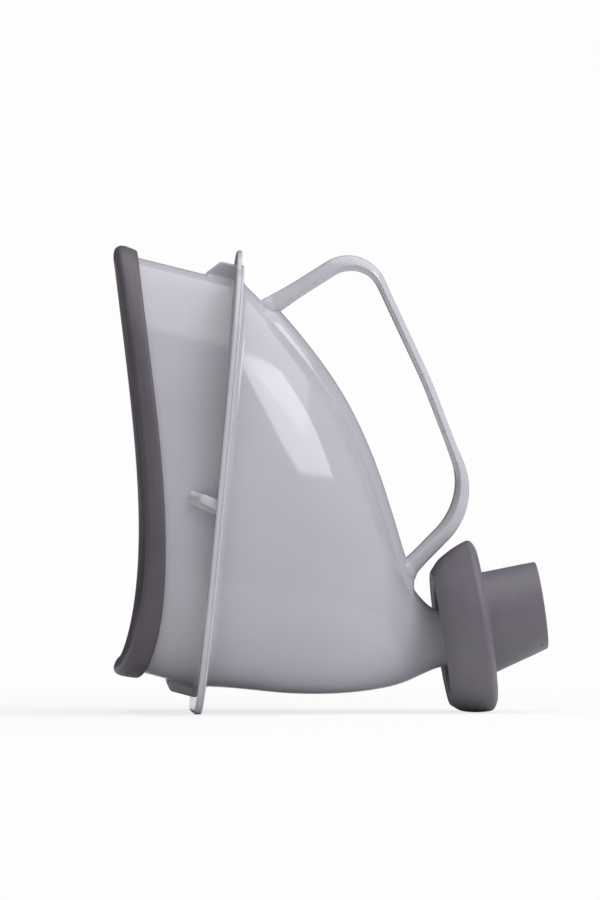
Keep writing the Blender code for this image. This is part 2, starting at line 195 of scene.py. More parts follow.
def moulded_surface():
    """Effect: how a moulded surface varies, as masks and a height."""
    group = bpy.data.node_groups.new("moulded surface", "ShaderNodeTree")
    face = group.interface
    for label, value in (("Cloud Scale", 30.0), ("Grain Scale", 1500.0),
                         ("Scuff Scale", 90.0), ("Ripple Scale", 200.0)):
        socket = face.new_socket(label, in_out="INPUT", socket_type="NodeSocketFloat")
        socket.default_value = value
    for label in ("Cloud", "Grain", "Scuff", "Ripple"):
        face.new_socket(label, in_out="OUTPUT", socket_type="NodeSocketFloat")
    nodes, links = group.nodes, group.links
    inside = nodes.new("NodeGroupInput")
    outside = nodes.new("NodeGroupOutput")
    place = nodes.new("ShaderNodeTexCoord")
    for label, detail, rough in (("Cloud", 3.0, 0.55), ("Grain", 2.0, 0.5),
                                 ("Ripple", 1.0, 0.4)):
        noise = nodes.new("ShaderNodeTexNoise")
        noise.inputs["Detail"].default_value = detail
        noise.inputs["Roughness"].default_value = rough
        links.new(place.outputs["Object"], noise.inputs["Vector"])
        links.new(inside.outputs[label + " Scale"], noise.inputs["Scale"])
        links.new(noise.outputs["Fac"], outside.inputs[label])
    # scuffs: thin stretched streaks, kept only where a broad noise is high
    stretch = nodes.new("ShaderNodeMapping")
    stretch.inputs["Rotation"].default_value = (0.5, 0.3, 0.9)
    stretch.inputs["Scale"].default_value = (1.0, 0.12, 1.0)
    streaks = nodes.new("ShaderNodeTexNoise")
    streaks.inputs["Detail"].default_value = 5.0
    streaks.inputs["Roughness"].default_value = 0.75
    keep = nodes.new("ShaderNodeMapRange")
    keep.inputs["From Min"].default_value = 0.56
    keep.inputs["From Max"].default_value = 0.74
    links.new(place.outputs["Object"], stretch.inputs["Vector"])
    links.new(stretch.outputs["Vector"], streaks.inputs["Vector"])
    links.new(inside.outputs["Scuff Scale"], streaks.inputs["Scale"])
    links.new(streaks.outputs["Fac"], keep.inputs["Value"])
    links.new(keep.outputs["Result"], outside.inputs["Scuff"])
    return group


surface_effect = moulded_surface()


def mixed(nodes, links, mask, low, high):
    """Colour between two, by a mask."""
    mix = nodes.new("ShaderNodeMix")
    mix.data_type = "RGBA"
    mix.inputs[6].default_value = (*low, 1.0)
    mix.inputs[7].default_value = (*high, 1.0)
    links.new(mask, mix.inputs[0])
    return mix.outputs[2]


def ranged(nodes, links, mask, from_min, from_max, to_min, to_max):
    """Value between two, by a mask."""
    spread = nodes.new("ShaderNodeMapRange")
    for socket, value in (("From Min", from_min), ("From Max", from_max),
                          ("To Min", to_min), ("To Max", to_max)):
        spread.inputs[socket].default_value = value
    links.new(mask, spread.inputs["Value"])
    return spread.outputs["Result"]


def grey_plastic(name, low, high):
    """Glossy light grey polypropylene with a faint flow mottle and scuffs."""
    mat = bpy.data.materials.new(name)
    mat.use_nodes = True
    nodes, links = mat.node_tree.nodes, mat.node_tree.links
    shader = nodes["Principled BSDF"]
    effect = nodes.new("ShaderNodeGroup")
    effect.node_tree = surface_effect
    effect.inputs["Cloud Scale"].default_value = 22.0
    effect.inputs["Grain Scale"].default_value = 2600.0
    effect.inputs["Scuff Scale"].default_value = 120.0
    effect.inputs["Ripple Scale"].default_value = 150.0
    base = mixed(nodes, links, ranged(nodes, links, effect.outputs["Cloud"],
                                      0.35, 0.65, 0.0, 1.0),
                 low, high)
    links.new(base, shader.inputs["Base Color"])
    gloss = nodes.new("ShaderNodeMath")
    gloss.operation = "ADD"
    links.new(ranged(nodes, links, effect.outputs["Cloud"], 0.3, 0.7, 0.06, 0.09),
              gloss.inputs[0])
    links.new(ranged(nodes, links, effect.outputs["Scuff"], 0.0, 1.0, 0.0, 0.07),
              gloss.inputs[1])
    links.new(gloss.outputs[0], shader.inputs["Roughness"])
    shader.inputs["IOR"].default_value = 1.49
    height = nodes.new("ShaderNodeMath")
    height.operation = "MULTIPLY_ADD"
    height.inputs[1].default_value = 0.04
    links.new(effect.outputs["Grain"], height.inputs[0])
    links.new(effect.outputs["Ripple"], height.inputs[2])
    bump = nodes.new("ShaderNodeBump")
    bump.inputs["Strength"].default_value = 0.05
    bump.inputs["Distance"].default_value = 0.0002
    links.new(height.outputs[0], bump.inputs["Height"])
    links.new(bump.outputs["Normal"], shader.inputs["Normal"])
    return mat


plastic = grey_plastic("light grey polypropylene", (0.420, 0.412, 0.440),
                       (0.445, 0.437, 0.465))
# painted light: a paler copy of the same plastic for the flange edges, the side gussets
# and the handle, its paler base colour standing in for the extra light these proud parts catch
plastic_painted_lighter = grey_plastic("light grey polypropylene, painted lighter", (0.485, 0.475, 0.500),
                            (0.515, 0.505, 0.530))

collar_back = -SEAM_HALF - COLLAR_FLANGE
mouth = mouth_ring()
root = body_ring(collar_back)
flange_out = flange_ring(collar_back, 0.0, tab=True)
rings = []
for k in range(29):
    rings.append(between(mouth, root, k / 30))
rings += fillet_rings(root, mouth, flange_out, COLLAR_FILLET)
flange_in = flange_ring(collar_back, COLLAR_EDGE_ROUND, tab=True)
start = rings[-1]
rings += [between(start, flange_in, k / 6) for k in range(1, 6)]
flange_start = len(rings)
for k in range(6):
    angle = 0.5 * math.pi * k / 5
    rings.append(flange_ring(collar_back + COLLAR_EDGE_ROUND * (1.0 - math.cos(angle)),
                             COLLAR_EDGE_ROUND * (1.0 - math.sin(angle)), tab=True))
rings += [
    flange_ring(-SEAM_HALF - SEAM_BEVEL, 0.0, tab=True),
    flange_ring(-SEAM_HALF - SEAM_STEP, SEAM_STEP, tab=True),
    flange_ring(-SEAM_HALF, SEAM_BEVEL, tab=True),
]
flange_end = len(rings)
joint = body_ring(-SEAM_HALF)
inner_joint = offset_ring(joint, root, -WALL)
inner_mouth = offset_ring(mouth, root, -WALL)
rings += [between(rings[-1], inner_joint, 0.5)]
rings += [between(inner_joint, inner_mouth, k / 24) for k in range(25)]
collar = skin("mouth_collar_fine", rings)
collar.data.materials.append(plastic)
# the flange's edge band takes the copy painted lighter: painted light for the light its proud
# edge catches
collar.data.materials.append(plastic_painted_lighter)
paint_band(collar, flange_start, flange_end)
collar.data.set_sharp_from_angle(angle=math.radians(50))
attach(collar, "funnel")
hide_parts("mouth_collar")

GUSSET_LENGTH, GUSSET_HEIGHT, FOOT_GUSSET_HEIGHT = 0.0100, 0.0058, 0.0037
GUSSET_THICK, SIDE_GUSSET_Z, SIDE_GUSSET_LEAN = 0.0036, 0.0720, 0.08


def gusset(name, index, lean, top, gusset_material):
    """Brace with a flared foot, rounded top edges and a sloping toe."""
    base = root[index]
    along = (mouth[index] - base).normalized()
    around = (root[(index + 1) % AROUND] - root[index - 1]).normalized()
    out = along.cross(around).normalized()
    if out.dot(base - sum(root, Vector()) / AROUND) < 0:
        out.negate()
    along = (along + Vector((0.0, 0.0, lean))).normalized()
    side = along.cross(out).normalized()
    half = 0.5 * GUSSET_THICK
    layers = [(-0.0009, 0.0011, 0.0008), (-0.0001, 0.0009, 0.0007)]
    layers += [(0.0009 * (1.0 - math.cos(a)), 0.0009 * (1.0 - math.sin(a)),
                0.0007 * (1.0 - math.sin(a)))
               for a in (math.radians(d) for d in (20, 40, 60, 90))]
    body = [0.0009 + (top - 0.0016) * k / 5 for k in range(1, 6)]
    layers += [(rise, 0.0, 0.0) for rise in body]
    layers += [(body[-1] + 0.0007 * math.sin(a), -0.0007 * (1.0 - math.cos(a)),
                -0.0007 * (1.0 - math.cos(a))) for a in (math.radians(d) for d in (30, 60, 85))]
    rings = []
    for rise, flare, reach in layers:
        slope = max(rise - 0.0009, 0.0) * 0.80
        toe = GUSSET_LENGTH - slope + reach
        ring = []
        for k in range(-6, 7):
            angle = math.pi * k / 12
            bulge = half * (0.75 + 0.25 * slope / max(top, 1e-6)) + flare
            run = toe - min(bulge, 0.0016) * (1.0 - math.cos(angle))
            ring.append(base + along * run + side * bulge * math.sin(angle) + out * rise)
        wide = half + flare
        ring.append(base - along * 0.0006 + side * wide + out * rise)
        ring.append(base - along * 0.0006 - side * wide + out * rise)
        rings.append(ring)
    piece = skin(name, rings, wrap=False)
    piece.data.materials.append(gusset_material)
    piece.data.set_sharp_from_angle(angle=math.radians(60))
    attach(piece, "funnel")


side_index = min(range(AROUND // 2), key=lambda i: abs(root[i].z - SIDE_GUSSET_Z))
gusset("gusset_top", 0, 0.0, GUSSET_HEIGHT, plastic)
# the side gussets take the copy painted lighter: painted light for the light their proud edges
# catch
gusset("gusset_far", side_index, SIDE_GUSSET_LEAN, GUSSET_HEIGHT, plastic_painted_lighter)
gusset("gusset_foot", AROUND // 2, 0.0, FOOT_GUSSET_HEIGHT, plastic)
gusset("gusset_near", AROUND - side_index, SIDE_GUSSET_LEAN, GUSSET_HEIGHT, plastic_painted_lighter)

# ---------------------------------------------------------------------------
# Comfort rim: a soft dark grey rubber profile, moulded as a closed ring and
# pushed over the collar's edge. Its slot grips the wall; its outer band is
# flat and its front is rounded.
# ---------------------------------------------------------------------------
RIM_BAND, RIM_PROUD, RIM_SLOT_GAP = 0.0072, 0.0018, 0.00006


def dark_rubber(name, low, high, cloud, grain, smooth, rough):
    """Matte moulded rubber with a fine grain and a dusty mottle."""
    mat = bpy.data.materials.new(name)
    mat.use_nodes = True
    nodes, links = mat.node_tree.nodes, mat.node_tree.links
    shader = nodes["Principled BSDF"]
    effect = nodes.new("ShaderNodeGroup")
    effect.node_tree = surface_effect
    effect.inputs["Cloud Scale"].default_value = cloud
    effect.inputs["Grain Scale"].default_value = grain
    effect.inputs["Scuff Scale"].default_value = 160.0
    effect.inputs["Ripple Scale"].default_value = 420.0
    tone = nodes.new("ShaderNodeMath")
    tone.operation = "MULTIPLY_ADD"
    tone.inputs[1].default_value = 0.35
    links.new(effect.outputs["Grain"], tone.inputs[0])
    links.new(ranged(nodes, links, effect.outputs["Cloud"], 0.3, 0.7, 0.0, 0.7),
              tone.inputs[2])
    links.new(mixed(nodes, links, tone.outputs[0], low, high), shader.inputs["Base Color"])
    links.new(ranged(nodes, links, effect.outputs["Scuff"], 0.0, 1.0, smooth, rough),
              shader.inputs["Roughness"])
    shader.inputs["IOR"].default_value = 1.43
    height = nodes.new("ShaderNodeMath")
    height.operation = "MULTIPLY_ADD"
    height.inputs[1].default_value = 0.5
    links.new(effect.outputs["Ripple"], height.inputs[0])
    links.new(effect.outputs["Grain"], height.inputs[2])
    bump = nodes.new("ShaderNodeBump")
    bump.inputs["Strength"].default_value = 0.35
    bump.inputs["Distance"].default_value = 0.0002
    links.new(height.outputs[0], bump.inputs["Height"])
    links.new(bump.outputs["Normal"], shader.inputs["Normal"])
    return mat


def rounded(profile, passes=2):
    """Corner cutting: rounds a closed profile."""
    for _ in range(passes):
        cut = []
        for i, a in enumerate(profile):
            b = profile[(i + 1) % len(profile)]
            cut.append((0.75 * a[0] + 0.25 * b[0], 0.75 * a[1] + 0.25 * b[1]))
            cut.append((0.25 * a[0] + 0.75 * b[0], 0.25 * a[1] + 0.75 * b[1]))
        profile = cut
    return profile


rim_rubber = dark_rubber("dark grey rim rubber", (0.082, 0.070, 0.082),
                         (0.108, 0.093, 0.108), 45.0, 2200.0, 0.40, 0.55)
rows = []
for i in range(AROUND):
    p = mouth[i]
    along = (root[i] - p).normalized()
    around = (mouth[(i + 1) % AROUND] - mouth[i - 1]).normalized()
    out = around.cross(along).normalized()
    if out.dot(p - sum(mouth, Vector()) / AROUND) < 0:
        out.negate()
    low = (0.5 - 0.5 * math.cos(2.0 * math.pi * i / AROUND)) ** 3
    flat = math.cos(2.0 * math.pi * i / AROUND) ** 2
    band = RIM_BAND + 0.0008 * flat + 0.0010 * low
    back = RIM_PROUD + 0.00065
    front = back - 0.0006 + 0.0009 * flat
    flap = -WALL - 0.0018
    profile = rounded((
        (band, RIM_SLOT_GAP), (band, 0.5 * back), (band - 0.0001, back - 0.0003),
        (band - 0.0010, back + 0.00004), (0.55 * band, 0.5 * (front + back) + 0.0002),
        (0.0030, front + 0.0002), (0.0012, front - 0.0002), (0.0002, front - 0.0014),
        (0.0, 0.0004), (0.0002, -0.0016), (0.0009, flap + 0.0004),
        (0.0024, flap - 0.0001), (0.0050, flap), (0.0074, flap), (0.0077, -WALL - 0.0008),
        (0.0076, -WALL - RIM_SLOT_GAP), (0.0050, -WALL - RIM_SLOT_GAP),
        (RIM_SEAT - 0.0001, -WALL - RIM_SLOT_GAP), (RIM_SEAT - 0.0001, RIM_SLOT_GAP),
        (0.0050, RIM_SLOT_GAP),
    ))
    rows.append([p + along * (run - RIM_SEAT) + out * rise for run, rise in profile])
rim = skin("comfort_rim_fine", [list(column) for column in zip(*rows)])
rim.data.materials.append(rim_rubber)
rim.data.set_sharp_from_angle(angle=math.radians(60))
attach(rim, "rim")
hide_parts("comfort_rim")

# ---------------------------------------------------------------------------
# Scoop: the rear half of the body, the same polypropylene, welded to the collar
# at the flange. It narrows from the flange to a round outlet neck.
# ---------------------------------------------------------------------------
SCOOP_FLANGE, SCOOP_FILLET, SCOOP_EDGE_ROUND = 0.0009, 0.0026, 0.0004
OUTLET_RISE = math.radians(8.5)
NECK_START = Vector((0.0384, 0.0, 0.025904))
NECK_RADIUS, NECK_WALL, NECK_LENGTH, NECK_END_ROUND = 0.0096, 0.0018, 0.0155, 0.0006
SCOOP_STATIONS = (
    ((-0.0240, 0.1437), (-0.0385, 0.0089), 0.0412, 0.37, 2.45),
    ((-0.0134, 0.1319), (-0.0290, 0.0081), 0.0400, 0.35, 2.40),
    ((0.0010, 0.1126), (-0.0140, 0.0066), 0.0367, 0.30, 2.35),
    ((0.0120, 0.0905), (0.0025, 0.0066), 0.0316, 0.26, 2.25),
    ((0.0195, 0.0683), (0.0158, 0.0080), 0.0253, 0.17, 2.15),
    ((0.0246, 0.0515), (0.0252, 0.0102), 0.0188, 0.08, 2.05),
    ((0.0300, 0.0420), (0.0318, 0.0132), 0.0136, 0.02, 2.00),
)
outlet = Vector((math.cos(OUTLET_RISE), 0.0, math.sin(OUTLET_RISE)))
outlet_up = Vector((-math.sin(OUTLET_RISE), 0.0, math.cos(OUTLET_RISE)))


def circle(along, radius, lift=0.0, count=AROUND):
    """Circle square to the outlet's axis, its centre lifted off that axis."""
    centre = NECK_START + outlet * along + outlet_up * lift
    return [centre + outlet_up * radius * math.cos(2.0 * math.pi * i / count)
            + Vector((0.0, radius * math.sin(2.0 * math.pi * i / count), 0.0))
            for i in range(count)]


scoop_back = SEAM_HALF + SCOOP_FLANGE
stations = [body_ring(scoop_back)] + [section(*s) for s in SCOOP_STATIONS]
stations += [circle(0.0, NECK_RADIUS), circle(0.0060, NECK_RADIUS)]
LAST = len(stations) - 2


def scoop_ring(t):
    """Ring of the scoop at a fractional station, smooth from one to the next."""
    k = min(int(t), LAST - 1)
    u = t - k
    before = stations[k - 1] if k else between(stations[1], stations[0], 2.0)
    return [0.5 * (2.0 * b + (c - a) * u + (2.0 * a - 5.0 * b + 4.0 * c - d) * u * u
                   + (3.0 * b - a - 3.0 * c + d) * u ** 3)
            for a, b, c, d in zip(before, stations[k], stations[k + 1], stations[k + 2])]


SCOOP_STEPS = 96
scoop_rings = [scoop_ring(LAST * k / SCOOP_STEPS) for k in range(SCOOP_STEPS + 1)]
neck_rings = [circle(0.0008 * k, NECK_RADIUS) for k in range(1, 12)]
run = scoop_rings + neck_rings
for _ in range(24):
    run = [run[0]] + [
        [p.lerp(0.5 * (a + b), 0.5) for a, p, b in zip(run[k - 1], run[k], run[k + 1])]
        for k in range(1, len(run) - 1)] + [run[-1]]

scoop_face = SEAM_HALF
flange_back = flange_ring(scoop_back)
corner = run[0]
rings = [flange_ring(scoop_face, SEAM_BEVEL), flange_ring(scoop_face + SEAM_STEP, SEAM_STEP),
         flange_ring(scoop_face + SEAM_BEVEL)]
for k in range(5):
    angle = 0.5 * math.pi * k / 4
    rings.append(flange_ring(scoop_back - SCOOP_EDGE_ROUND * (1.0 - math.sin(angle)),
                             SCOOP_EDGE_ROUND * (1.0 - math.cos(angle))))
flange_in = rings[-1]
scoop_edge_end = len(rings)
fillet = fillet_rings(corner, run[5], flange_back, SCOOP_FILLET, 10)[::-1]
rings += [between(flange_in, fillet[0], k / 5) for k in range(1, 5)]
rings += fillet
skip = next(k for k in range(len(run)) if (run[k][0] - run[0][0]).length > SCOOP_FILLET * 1.15)
rings += run[skip:]
rings += [circle(NECK_LENGTH - 0.0050, NECK_RADIUS)]
for k in range(5):
    angle = 0.5 * math.pi * k / 4
    rings.append(circle(NECK_LENGTH - NECK_END_ROUND * (1.0 - math.sin(angle)),
                        NECK_RADIUS - NECK_END_ROUND * (1.0 - math.cos(angle))))
bore = NECK_RADIUS - NECK_WALL
rings += [circle(NECK_LENGTH, bore + 0.0003), circle(NECK_LENGTH - 0.0003, bore),
          circle(0.0100, bore), circle(0.0060, bore)]
inner = [offset_ring(run[k], run[k + 1], -WALL) for k in range(4, SCOOP_STEPS - 2, 2)]
rings += inner[::-1]
lip = offset_ring(body_ring(scoop_face), root, -WALL - 0.0015)
lip_out = offset_ring(body_ring(scoop_face), root, -WALL - 0.0002)
slope = [(m - r).normalized() for m, r in zip(mouth, root)]
rings += [lip, [p + d * 0.0028 for p, d in zip(lip, slope)],
          [p + d * 0.0030 for p, d in zip(between(lip, lip_out, 0.5), slope)],
          [p + d * 0.0028 for p, d in zip(lip_out, slope)], lip_out]
scoop = skin("scoop_shell_fine", rings)
scoop.data.materials.append(plastic)
# the flange's edge band takes the copy painted lighter: painted light for the light its proud
# edge catches
scoop.data.materials.append(plastic_painted_lighter)
paint_band(scoop, 0, scoop_edge_end)
scoop.data.set_sharp_from_angle(angle=math.radians(50))
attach(scoop, "funnel")
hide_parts("scoop_shell")

# ---------------------------------------------------------------------------
# Carrying handle: a loop with a base strap down the scoop's back, moulded in the
# same plastic. The grip is thinner than the two arms, and fillets run out of
# each root into the strap.
# ---------------------------------------------------------------------------
HANDLE_LINE = (
    ((-0.0235, 0.1405), 0.0),
    ((0.0118, 0.1628), 0.0122),
    ((0.0339, 0.1155), 0.1500),
    ((0.0500, 0.0735), 0.0240),
    ((0.0230, 0.0461), 0.0),
)
HANDLE_HALF_WIDTH, HANDLE_ARM, HANDLE_GRIP, HANDLE_FOOT = 0.0072, 0.0057, 0.0030, 0.0058
STRAP_HALF_WIDTH, STRAP_RISE, STRAP_SPAN = 0.0105, 0.0022, (1.05, 6.80)


def rounded_line(corners, spacing=0.0010):
    """Points along straight runs joined by arcs, in the x-z plane."""
    points = []
    for k, (corner, radius) in enumerate(corners):
        here = Vector((corner[0], 0.0, corner[1]))
        if not radius:
            points.append(here)
            continue
        last, following = corners[k - 1][0], corners[k + 1][0]
        back = (Vector((last[0], 0.0, last[1])) - here).normalized()
        ahead = (Vector((following[0], 0.0, following[1])) - here).normalized()
        half = 0.5 * back.angle(ahead)
        reach = radius / math.tan(half)
        centre = here + (back + ahead).normalized() * radius / math.sin(half)
        first = here + back * reach - centre
        axis = first.cross(here + ahead * reach - centre).normalized()
        count = max(3, int(radius * (math.pi - 2.0 * half) / spacing))
        for i in range(count + 1):
            angle = (math.pi - 2.0 * half) * i / count
            points.append(centre + first * math.cos(angle)
                          + axis.cross(first) * math.sin(angle))
    return points


def handle_thickness(share):
    """Arm, then the thinner grip, then the foot, with a swell at both roots."""
    size = HANDLE_ARM + (HANDLE_GRIP - HANDLE_ARM) * ease((share - 0.18) / 0.13)
    size += (HANDLE_FOOT - HANDLE_GRIP) * ease((share - 0.64) / 0.20)
    return size + 0.0012 * (ease(1.0 - share / 0.10) + ease((share - 0.92) / 0.08))


# upper and lower root: how deep the arm's end sits, and its fillet; the upper end
# comes about 0.5 mm through the shell
ROOT_SUNK, ROOT_FILLET = (0.0034, 0.0058), (0.0004, 0.0022)
line = rounded_line(HANDLE_LINE)
travel = [0.0]
for a, b in zip(line, line[1:]):
    travel.append(travel[-1] + (b - a).length)
path = []
for k in range(len(line) - 1):
    count = max(1, int(round((travel[k + 1] - travel[k]) / 0.001)))
    path += [(line[k].lerp(line[k + 1], i / count),
              (travel[k] + (travel[k + 1] - travel[k]) * i / count) / travel[-1])
             for i in range(count)]
path = path[:-3]                 # further on, the lower arm would come through the shell
rings = []
for k, (p, share) in enumerate(path):
    ahead = (path[min(k + 1, len(path) - 1)][0] - path[max(k - 1, 0)][0]).normalized()
    out = Vector((-ahead.z, 0.0, ahead.x))
    # each root spreads into the strap in a quarter round
    lower = share > 0.5
    reach = max(min(share, 1.0 - share) * travel[-1] - ROOT_SUNK[lower], 0.0)
    fillet = ROOT_FILLET[lower]
    spread = 0.0
    if reach < fillet:
        spread = fillet - math.sqrt(fillet ** 2 - (fillet - reach) ** 2)
    thick, wide = handle_thickness(share), HANDLE_HALF_WIDTH
    half_profile = (
        (0.5, wide - 0.0046), (0.5, wide - 0.0028), (0.40, wide - 0.0016),
        (0.20, wide - 0.0008), (-0.05, wide - 0.0002), (-0.16, wide),
        (-0.22, wide - 0.0003), (-0.5, wide - 0.0030), (-0.5, wide - 0.0048),
    )
    profile = [(thick * n, y) for n, y in half_profile]
    profile += [(n, -y) for n, y in reversed(profile)]
    profile = rounded(profile)
    rings.append([p + out * (n + (0.35 if n > 0.0 else -1.0) * spread * abs(n) / (0.5 * thick))
                  + Vector((0.0, y * (1.0 + 0.6 * spread / wide), 0.0)) for n, y in profile])
handle = skin("carry_handle_fine", rings, wrap=False)
# the handle takes the copy painted lighter: painted light for the light the thin loop catches
# from all sides
handle.data.materials.append(plastic_painted_lighter)
handle.data.set_sharp_from_angle(angle=math.radians(60))
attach(handle, "funnel")
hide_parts("carry_handle")

STRAP_STEPS, STRAP_EDGE_RISE, STRAP_UNDER = 60, 0.0003, -0.0008
STRAP_PROFILE = (
    (0.97, 0.08), (0.92, 0.26), (0.86, 0.47), (0.79, 0.66), (0.71, 0.81), (0.60, 0.92),
    (0.45, 0.98), (0.25, 1.0), (0.0, 1.0),
)
strap_cache = {}


def on_back(t, y, rise):
    """Point on the scoop's back at a station and width, raised off it."""
    position = t / LAST * SCOOP_STEPS
    k = min(int(position), SCOOP_STEPS - 1)
    raised = strap_cache.get((k, rise))
    if raised is None:
        raised = (offset_ring(run[k], run[k + 1], rise),
                  offset_ring(run[k + 1], run[k + 2], rise))
        strap_cache[(k, rise)] = raised
    low, high = raised
    u = position - k
    for i in range(AROUND // 4):
        a = low[i].lerp(high[i], u)
        b = low[i + 1].lerp(high[i + 1], u)
        if b.y >= abs(y):
            q = a.lerp(b, (abs(y) - a.y) / max(b.y - a.y, 1e-9))
            return Vector((q.x, y, q.z))
    return Vector((q.x, y, q.z))


rows = []
for k in range(STRAP_STEPS + 1):
    t = STRAP_SPAN[0] + (STRAP_SPAN[1] - STRAP_SPAN[0]) * k / STRAP_STEPS
    end = ease(min(k, STRAP_STEPS - k) / 4.0)
    rise = round(STRAP_EDGE_RISE + STRAP_RISE * end, 5)
    wide = STRAP_HALF_WIDTH
    row = [on_back(t, wide, STRAP_UNDER), on_back(t, wide, -0.00005)]
    row += [on_back(t, share * wide, round(up * rise, 5)) for share, up in STRAP_PROFILE]
    row += [Vector((p.x, -p.y, p.z)) for p in reversed(row[:-1])]
    row += [on_back(t, y, STRAP_UNDER) for y in (-0.5 * wide, 0.0, 0.5 * wide)]
    rows.append(row)
strap = skin("handle_strap", rows, wrap=False)
strap.data.materials.append(plastic)
strap.data.set_sharp_from_angle(angle=math.radians(60))
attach(strap, "funnel")

# ---------------------------------------------------------------------------
# Bottle adapter: one soft dark grey rubber moulding. A sleeve grips the neck, a
# bell-shaped skirt surrounds it, and a tapered cone takes a drink bottle's neck.
# ---------------------------------------------------------------------------
ADAPTER_SKEW, ADAPTER_AROUND, SLEEVE_GAP = 0.17, 192, 0.0001
RING_MOUTH_RADIUS, RING_RADIUS, RING_LENGTH = 0.0235, 0.03052, 0.0165
SKIRT_WALL, SLEEVE_WALL = 0.0025, 0.0032
CONE_ROOT_RADIUS, CONE_END_RADIUS, CONE_LENGTH = 0.0180, 0.0154, 0.03699
CONE_WALL, CONE_END_ROUND = 0.0021, 0.0007
adapter_rubber = dark_rubber("dark grey adapter rubber", (0.125, 0.112, 0.130),
                             (0.160, 0.145, 0.165), 40.0, 2000.0, 0.45, 0.62)


def skewed(along, radius):
    return circle(along, radius, ADAPTER_SKEW * along, ADAPTER_AROUND)


def straight(along, radius):
    return circle(along, radius, 0.0, ADAPTER_AROUND)


sleeve = NECK_RADIUS + SLEEVE_GAP
socket_end = NECK_LENGTH + 0.0005
face = RING_LENGTH - 0.0012
pocket = face - 0.0030
outside = (
    (0.0004, RING_MOUTH_RADIUS - 0.0012), (0.0001, RING_MOUTH_RADIUS - 0.0007),
    (0.0, RING_MOUTH_RADIUS - 0.0002), (0.0004, RING_MOUTH_RADIUS + 0.0004),
    (0.0012, RING_MOUTH_RADIUS + 0.0012), (0.0036, RING_RADIUS - 0.0037),
    (0.0080, RING_RADIUS - 0.0018), (0.0112, RING_RADIUS - 0.0009),
    (0.0130, RING_RADIUS - 0.00054), (0.0140, RING_RADIUS - 0.00039),
    (0.0150, RING_RADIUS - 0.0007), (0.0158, RING_RADIUS - 0.0016),
    (0.0163, RING_RADIUS - 0.0026), (0.0166, RING_RADIUS - 0.0034),
    (0.0165, RING_RADIUS - 0.0042), (0.0160, RING_RADIUS - 0.0048),
    (face + 0.0002, RING_RADIUS - 0.0052), (face, RING_RADIUS - 0.0060),
    (face, CONE_ROOT_RADIUS + 0.0014), (face + 0.0003, CONE_ROOT_RADIUS + 0.0005),
    (face + 0.0012, CONE_ROOT_RADIUS),
)


def spline_profile(points, steps=4):
    """Catmull-Rom curve through profile points, its ends included."""
    smooth = []
    for k in range(len(points) - 1):
        a = points[max(k - 1, 0)]
        b, c = points[k], points[k + 1]
        d = points[min(k + 2, len(points) - 1)]
        for i in range(steps):
            u = i / steps
            smooth.append(tuple(
                0.5 * (2.0 * b[j] + (c[j] - a[j]) * u
                       + (2.0 * a[j] - 5.0 * b[j] + 4.0 * c[j] - d[j]) * u * u
                       + (3.0 * b[j] - a[j] - 3.0 * c[j] + d[j]) * u ** 3)
                for j in range(2)))
    smooth.append(points[-1])
    return smooth


rings = [skewed(a, r) for a, r in spline_profile(outside)]
rings += [skewed(a, CONE_ROOT_RADIUS + (CONE_END_RADIUS - CONE_ROOT_RADIUS)
                 * (a - face) / (CONE_LENGTH - face))
          for a in (face + 0.004 * k for k in range(1, 5))]
for k in range(7):
    angle = 0.5 * math.pi * k / 6
    rings.append(skewed(CONE_LENGTH - CONE_END_ROUND * (1.0 - math.sin(angle)),
                        CONE_END_RADIUS - CONE_END_ROUND * (1.0 - math.cos(angle))))
rings += [
    skewed(CONE_LENGTH, CONE_END_RADIUS - CONE_WALL + 0.0003),
    skewed(CONE_LENGTH - 0.0003, CONE_END_RADIUS - CONE_WALL),
    skewed(socket_end + 0.0050, CONE_ROOT_RADIUS - CONE_WALL - 0.0007),
    skewed(socket_end + 0.0040, CONE_ROOT_RADIUS - CONE_WALL - 0.0010),
    skewed(socket_end + 0.0030, CONE_ROOT_RADIUS - CONE_WALL - 0.0022),
    straight(socket_end + 0.0022, bore + 0.0012),
    straight(socket_end + 0.0020, bore + 0.0002),
    straight(socket_end, bore),
    straight(socket_end, sleeve),
    straight(0.0023, sleeve),
    straight(0.0020, sleeve + 0.0003),
    straight(0.0020, sleeve + SLEEVE_WALL - 0.0004),
    straight(0.0024, sleeve + SLEEVE_WALL),
    straight(pocket - 0.0008, sleeve + SLEEVE_WALL),
    straight(pocket, sleeve + SLEEVE_WALL + 0.0008),
    skewed(pocket, RING_RADIUS - SKIRT_WALL - 0.0020),
    skewed(pocket - 0.0008, RING_RADIUS - SKIRT_WALL - 0.0010),
    skewed(0.0080, RING_RADIUS - 0.0023 - SKIRT_WALL),
    skewed(0.0044, RING_RADIUS - 0.0050 - SKIRT_WALL),
    skewed(0.0022, RING_MOUTH_RADIUS - 0.0046),
    skewed(0.0010, RING_MOUTH_RADIUS - 0.0040),
    skewed(0.0006, RING_MOUTH_RADIUS - 0.0028),
]
adapter = skin("bottle_adapter_fine", rings)
adapter.data.materials.append(adapter_rubber)
adapter.data.set_sharp_from_angle(angle=math.radians(60))
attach(adapter, "adapter")
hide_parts("bottle_adapter")

# a vent pip left by the mould, low on the cone near its end
PIP_ALONG, PIP_INDEX, PIP_RADIUS = 0.0345, 113, 0.00045
pip_place = skewed(PIP_ALONG, CONE_END_RADIUS)[PIP_INDEX]
pip_mesh = bpy.data.meshes.new("vent_pip")
bm = bmesh.new()
bmesh.ops.create_uvsphere(bm, u_segments=16, v_segments=10, radius=PIP_RADIUS)
bm.to_mesh(pip_mesh)
bm.free()
pip_mesh.shade_smooth()
pip_mesh.transform(Matrix.Translation(pip_place))
pip = bpy.data.objects.new("vent_pip", pip_mesh)
bpy.context.scene.collection.objects.link(pip)
pip_mesh.materials.append(dark_rubber("dark pip rubber", (0.030, 0.026, 0.030),
                                      (0.045, 0.040, 0.045), 200.0, 4000.0, 0.5, 0.6))
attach(pip, "adapter")
